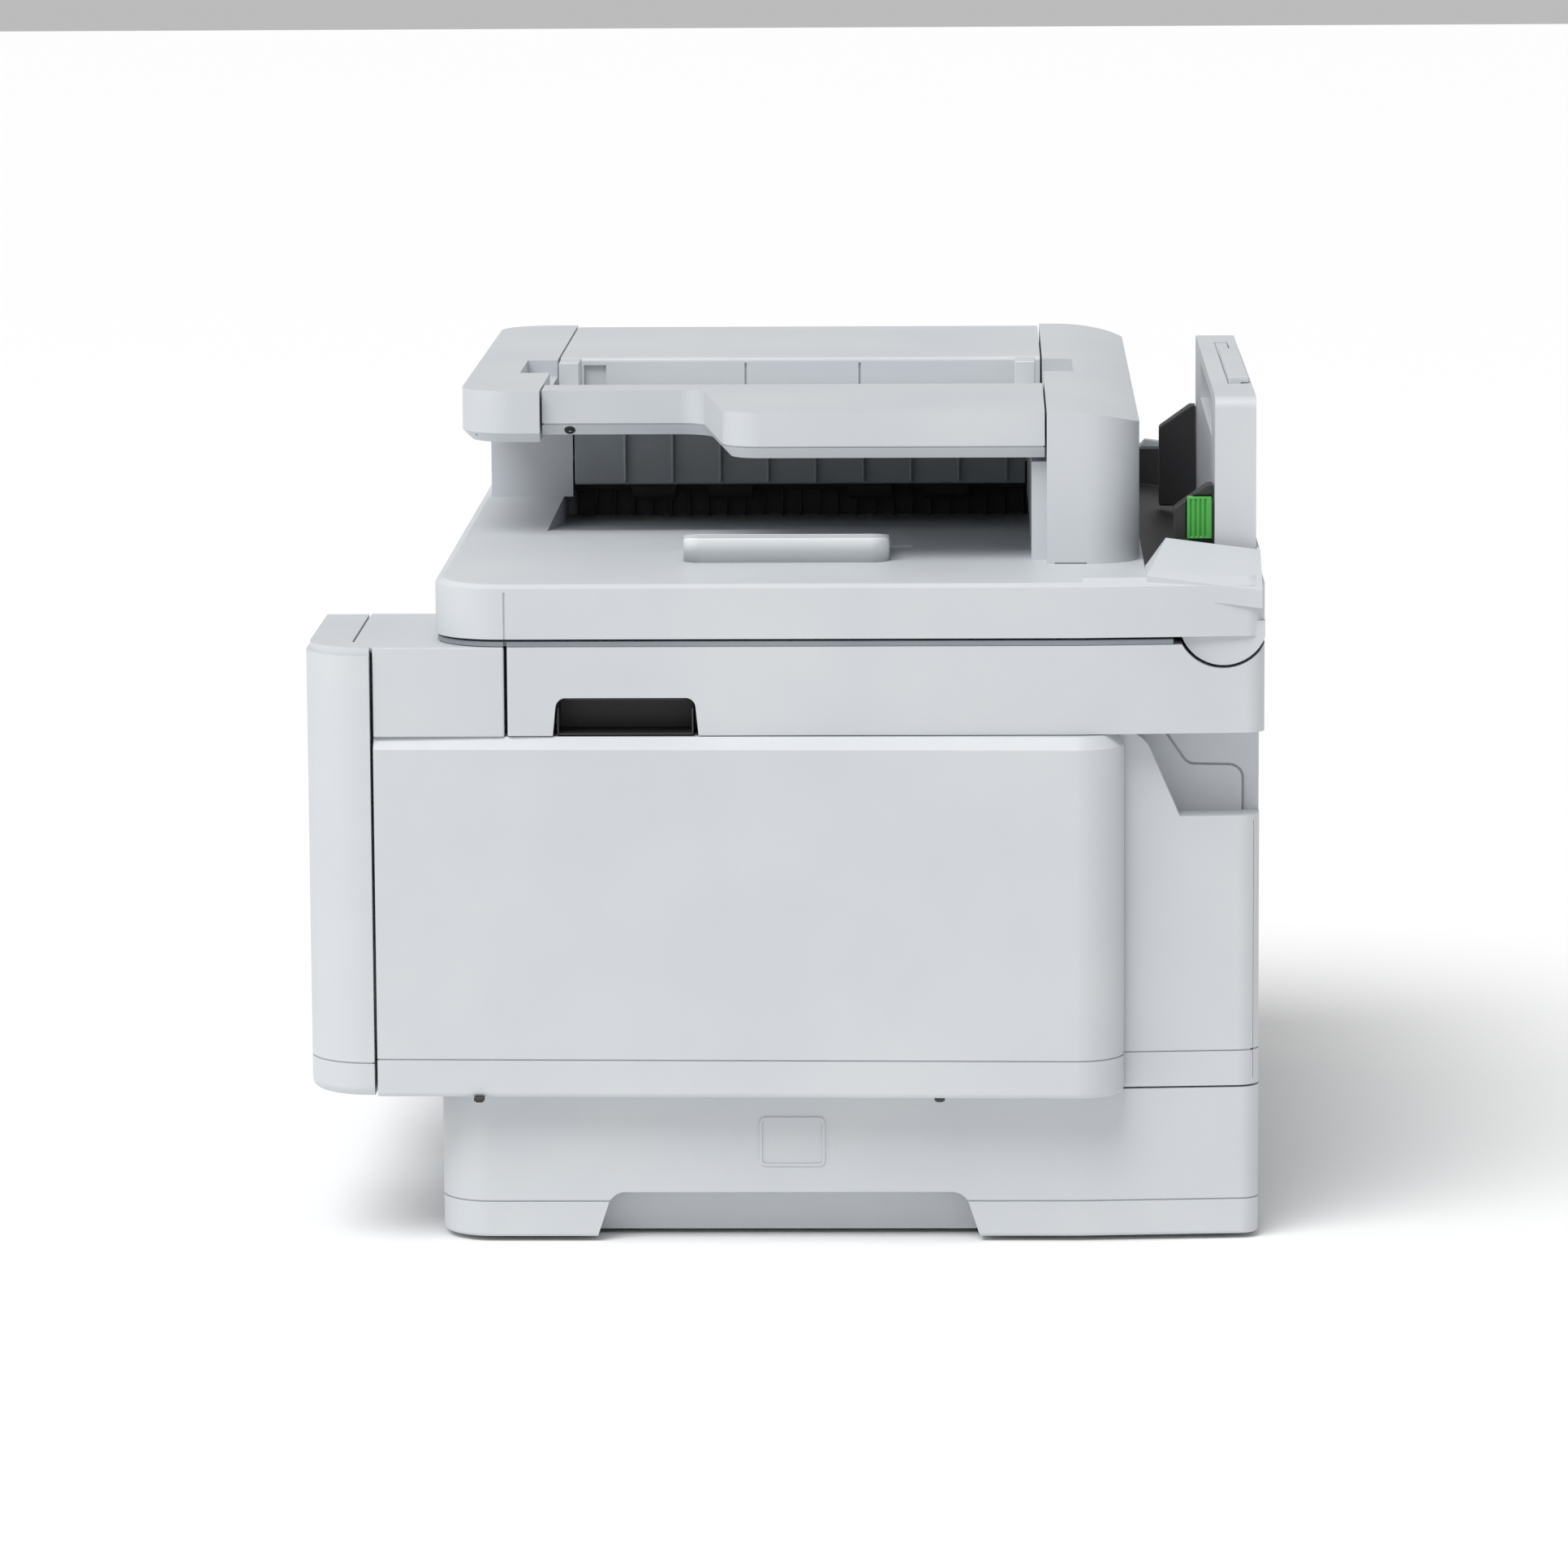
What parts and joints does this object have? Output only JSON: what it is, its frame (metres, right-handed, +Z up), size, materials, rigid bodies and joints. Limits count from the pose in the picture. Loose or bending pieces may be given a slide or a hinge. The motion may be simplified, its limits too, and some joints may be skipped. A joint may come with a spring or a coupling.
{
  "type": "photocopier",
  "caption": "Desktop A3 office photocopier with flatbed scanner, automatic sheet feeder, rear sheet feed, front control panel, ink door and paper cassettes.",
  "frame": {"origin": "bottom centre of the whole machine's box, on the surface it stands on", "axes": "+Z up; -Y is the front, with the cassettes and the control panel; +X is the side with the ink door"},
  "size_m": [0.576, 0.48, 0.4275],
  "materials": {
    "abs_shell": "satin",
    "abs_grey": "satin",
    "abs_dark": "matte",
    "steel_sheet": "zinc plated",
    "steel_bar": "ground",
    "rubber_black": "matte",
    "float_glass": "polished",
    "panel_glass": "gloss",
    "backing_foam": "matte",
    "lever_green": "satin",
    "ink_tank": "gloss",
    "circuit_board": "satin",
    "key_grey": "satin"
  },
  "bodies": {
    "machine": {"base_housing": "abs_shell", "rubber_feet": "rubber_black", "chassis": "steel_sheet", "centre_frame": "steel_sheet", "door_hinge_pins": "steel_bar", "right_side_cover": "abs_shell", "left_side_cover": "abs_shell", "front_surround": "abs_shell", "front_top_cover": "abs_shell", "panel_shaft": "steel_bar", "ink_cradle": "abs_dark", "ink_cartridges": "ink_tank", "output_deck": "abs_dark", "platen": "abs_dark", "carriage_rail": "steel_sheet", "drive_belt": "rubber_black", "carriage_motor": "steel_bar", "capping_station": "abs_dark", "power_supply": "steel_sheet", "main_board": "circuit_board", "rear_housing": "abs_shell", "power_inlet": "abs_dark", "port_panel": "abs_dark"},
    "ink_door": {"ink_door": "abs_shell"},
    "control_panel": {"panel_housing": "abs_shell", "touch_screen": "panel_glass"},
    "power_key": {"power_key": "key_grey"},
    "stop_key": {"stop_key": "key_grey"},
    "start_key": {"start_key": "key_grey"},
    "cassette_1": {"cassette_front_1": "abs_shell", "cassette_tray_1": "abs_dark"},
    "cassette_2": {"cassette_front_2": "abs_shell", "cassette_tray_2": "abs_dark"},
    "cassette_3": {"cassette_front_3": "abs_shell", "cassette_tray_3": "abs_dark"},
    "output_extension": {"output_extension": "abs_dark"},
    "feed_roller": {"feed_roller": "rubber_black"},
    "eject_roller": {"eject_roller": "rubber_black"},
    "print_carriage": {"print_carriage": "abs_dark"},
    "rear_jam_cover": {"rear_jam_cover": "abs_shell"},
    "scanner_unit": {"scanner_frame": "abs_shell", "scanner_rim": "abs_grey", "scanner_glass": "float_glass"},
    "scan_carriage": {"scan_carriage": "abs_dark"},
    "document_cover": {"lid_shell": "abs_shell", "lid_backing": "backing_foam", "adf_housing": "abs_shell", "adf_inner_wall": "abs_grey", "feed_support": "abs_shell", "feed_chute": "abs_dark"},
    "adf_top_cover": {"adf_top_cover": "abs_shell"},
    "adf_tray": {"adf_tray": "abs_shell"},
    "adf_guide_front": {"adf_guide_front": "abs_shell"},
    "adf_guide_rear": {"adf_guide_rear": "abs_shell"},
    "adf_intake_roller": {"adf_intake_roller": "rubber_black"},
    "adf_exit_roller": {"adf_exit_roller": "rubber_black"},
    "feed_extension": {"feed_extension": "abs_shell"},
    "feed_guide_near": {"feed_guide_near": "abs_dark"},
    "feed_guide_far": {"feed_guide_far": "abs_dark"},
    "feed_lever": {"feed_lever": "lever_green"}
  },
  "joints": [
    {"name": "ink_door_swing", "type": "hinge", "parent": "machine", "child": "ink_door", "pos_m": [0.1495, -0.235, 0.12], "axis": [0, 0, -1], "range_deg": [0, 95]},
    {"name": "control_panel_tilt", "type": "hinge", "parent": "machine", "child": "control_panel", "pos_m": [0, -0.184, 0.27], "axis": [-1, 0, 0], "range_deg": [0, 45]},
    {"name": "power_key_press", "type": "slide", "parent": "control_panel", "child": "power_key", "axis": [0, 0.788, -0.6157], "range_m": [0, 0.0008], "stiffness_N_per_m": 400},
    {"name": "stop_key_press", "type": "slide", "parent": "control_panel", "child": "stop_key", "axis": [0, 0.788, -0.6157], "range_m": [0, 0.0008], "stiffness_N_per_m": 400},
    {"name": "start_key_press", "type": "slide", "parent": "control_panel", "child": "start_key", "axis": [0, 0.788, -0.6157], "range_m": [0, 0.0008], "stiffness_N_per_m": 400},
    {"name": "cassette_1_slide", "type": "slide", "parent": "machine", "child": "cassette_1", "axis": [0, -1, 0], "range_m": [0, 0.3]},
    {"name": "cassette_2_slide", "type": "slide", "parent": "machine", "child": "cassette_2", "axis": [0, -1, 0], "range_m": [0, 0.3]},
    {"name": "cassette_3_slide", "type": "slide", "parent": "machine", "child": "cassette_3", "axis": [0, -1, 0], "range_m": [0, 0.27]},
    {"name": "output_extension_slide", "type": "slide", "parent": "machine", "child": "output_extension", "axis": [0, -1, 0], "range_m": [0, 0.12]},
    {"name": "feed_roller_spin", "type": "hinge", "parent": "machine", "child": "feed_roller", "pos_m": [0, 0.114, 0.188], "axis": [1, 0, 0], "continuous": true},
    {"name": "eject_roller_spin", "type": "hinge", "parent": "machine", "child": "eject_roller", "pos_m": [0, 0.048, 0.194], "axis": [1, 0, 0], "continuous": true},
    {"name": "print_carriage_slide", "type": "slide", "parent": "machine", "child": "print_carriage", "axis": [-1, 0, 0], "range_m": [0, 0.39]},
    {"name": "rear_jam_cover_swing", "type": "hinge", "parent": "machine", "child": "rear_jam_cover", "pos_m": [0, 0.2367, 0.109], "axis": [-1, 0, 0], "range_deg": [0, 85]},
    {"name": "scanner_unit_lift", "type": "hinge", "parent": "machine", "child": "scanner_unit", "pos_m": [0, 0.234, 0.246], "axis": [-1, 0, 0], "range_deg": [0, 35]},
    {"name": "scan_carriage_slide", "type": "slide", "parent": "scanner_unit", "child": "scan_carriage", "axis": [1, 0, 0], "range_m": [0, 0.44]},
    {"name": "document_cover_lift", "type": "hinge", "parent": "scanner_unit", "child": "document_cover", "pos_m": [0, 0.2193, 0.3164], "axis": [-1, 0, 0], "range_deg": [0, 55]},
    {"name": "adf_top_cover_lift", "type": "hinge", "parent": "document_cover", "child": "adf_top_cover", "pos_m": [-0.273, 0, 0.402], "axis": [0, -1, 0], "range_deg": [0, 75]},
    {"name": "adf_tray_lift", "type": "hinge", "parent": "document_cover", "child": "adf_tray", "pos_m": [-0.076, 0, 0.3985], "axis": [0, -1, 0], "range_deg": [0, 24]},
    {"name": "adf_guide_front_slide", "type": "slide", "parent": "adf_tray", "child": "adf_guide_front", "axis": [0, 1, 0], "range_m": [0, 0.06]},
    {"name": "adf_guide_rear_slide", "type": "slide", "parent": "adf_tray", "child": "adf_guide_rear", "axis": [0, -1, 0], "range_m": [0, 0.06]},
    {"name": "adf_intake_roller_spin", "type": "hinge", "parent": "document_cover", "child": "adf_intake_roller", "pos_m": [-0.125, 0, 0.377], "axis": [0, 1, 0], "continuous": true},
    {"name": "adf_exit_roller_spin", "type": "hinge", "parent": "document_cover", "child": "adf_exit_roller", "pos_m": [-0.107, 0, 0.3434], "axis": [0, 1, 0], "continuous": true},
    {"name": "feed_extension_slide", "type": "slide", "parent": "document_cover", "child": "feed_extension", "axis": [0, 0, 1], "range_m": [0, 0.065]},
    {"name": "feed_guide_near_slide", "type": "slide", "parent": "document_cover", "child": "feed_guide_near", "axis": [-1, 0, 0], "range_m": [0, 0.095]},
    {"name": "feed_guide_far_slide", "type": "slide", "parent": "document_cover", "child": "feed_guide_far", "axis": [1, 0, 0], "range_m": [0, 0.095]},
    {"name": "feed_lever_squeeze", "type": "slide", "parent": "feed_guide_near", "child": "feed_lever", "axis": [-1, 0, 0], "range_m": [0, 0.0014], "stiffness_N_per_m": 500}
  ],
  "couplings": [
    {"joint": "eject_roller_spin", "follows": "feed_roller_spin", "ratio": 1},
    {"joint": "adf_guide_rear_slide", "follows": "adf_guide_front_slide", "ratio": 1},
    {"joint": "adf_exit_roller_spin", "follows": "adf_intake_roller_spin", "ratio": -1.25},
    {"joint": "feed_guide_far_slide", "follows": "feed_guide_near_slide", "ratio": 1}
  ]
}
